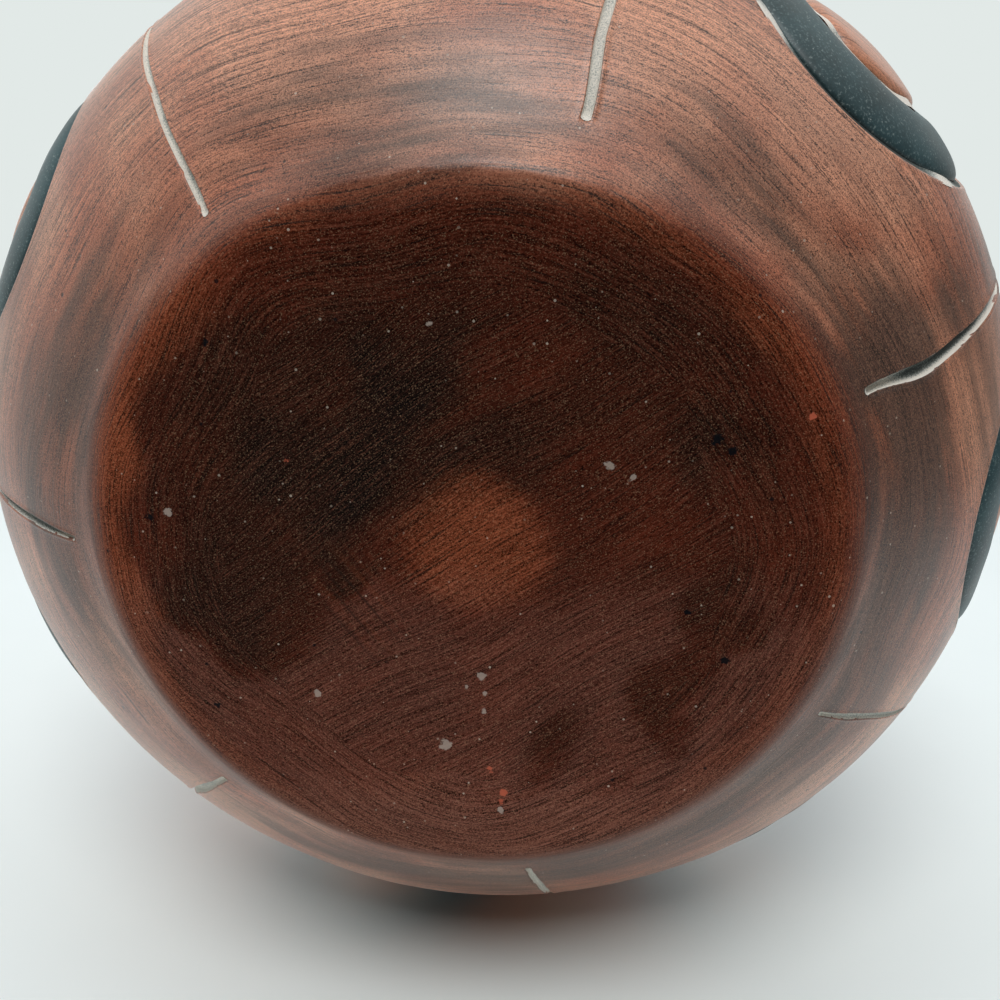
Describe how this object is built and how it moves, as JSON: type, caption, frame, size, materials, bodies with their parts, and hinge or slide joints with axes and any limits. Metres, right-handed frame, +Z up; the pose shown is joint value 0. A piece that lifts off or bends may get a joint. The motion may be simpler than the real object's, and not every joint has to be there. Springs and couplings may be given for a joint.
{
  "type": "terracotta vase",
  "caption": "Globular terracotta vase with a flat smoked base, short flared neck and rolled rim, carved around the belly with black medallions and pale lines. It holds flowers.",
  "frame": {"origin": "middle of the base on the plane that the vase stands on", "axes": "+Z up along the vase's turning axis, towards the mouth; +X through the first pale line between medallions"},
  "size_m": [0.2004, 0.2006, 0.1638],
  "materials": {
    "terracotta": "hand-burnished terracotta slip with brown brush streaks, satin",
    "smoked_terracotta": "terracotta with a patchy dark brown wash, worn red at the contact ring",
    "black_slip": "burnished black slip, dusty satin",
    "white_slip": "matt cream-white slip in the cut lines"
  },
  "bodies": {
    "root": {"base_pad": "smoked_terracotta", "lower_wall": "terracotta", "belly_wall": "terracotta", "shoulder_wall": "terracotta", "neck_collar": "terracotta", "rim_roll": "terracotta", "black_band_1": "black_slip", "black_band_2": "black_slip", "black_band_3": "black_slip", "black_band_4": "black_slip", "black_band_5": "black_slip", "black_band_6": "black_slip", "black_band_7": "black_slip", "boss_1": "terracotta", "boss_2": "terracotta", "boss_3": "terracotta", "boss_4": "terracotta", "boss_5": "terracotta", "boss_6": "terracotta", "boss_7": "terracotta", "white_outer_line_1": "white_slip", "white_outer_line_2": "white_slip", "white_outer_line_3": "white_slip", "white_outer_line_4": "white_slip", "white_outer_line_5": "white_slip", "white_outer_line_6": "white_slip", "white_outer_line_7": "white_slip", "white_inner_line_1": "white_slip", "white_inner_line_2": "white_slip", "white_inner_line_3": "white_slip", "white_inner_line_4": "white_slip", "white_inner_line_5": "white_slip", "white_inner_line_6": "white_slip", "white_inner_line_7": "white_slip", "white_stem_line_1": "white_slip", "white_stem_line_2": "white_slip", "white_stem_line_3": "white_slip", "white_stem_line_4": "white_slip", "white_stem_line_5": "white_slip", "white_stem_line_6": "white_slip", "white_stem_line_7": "white_slip"}
  },
  "joints": []
}
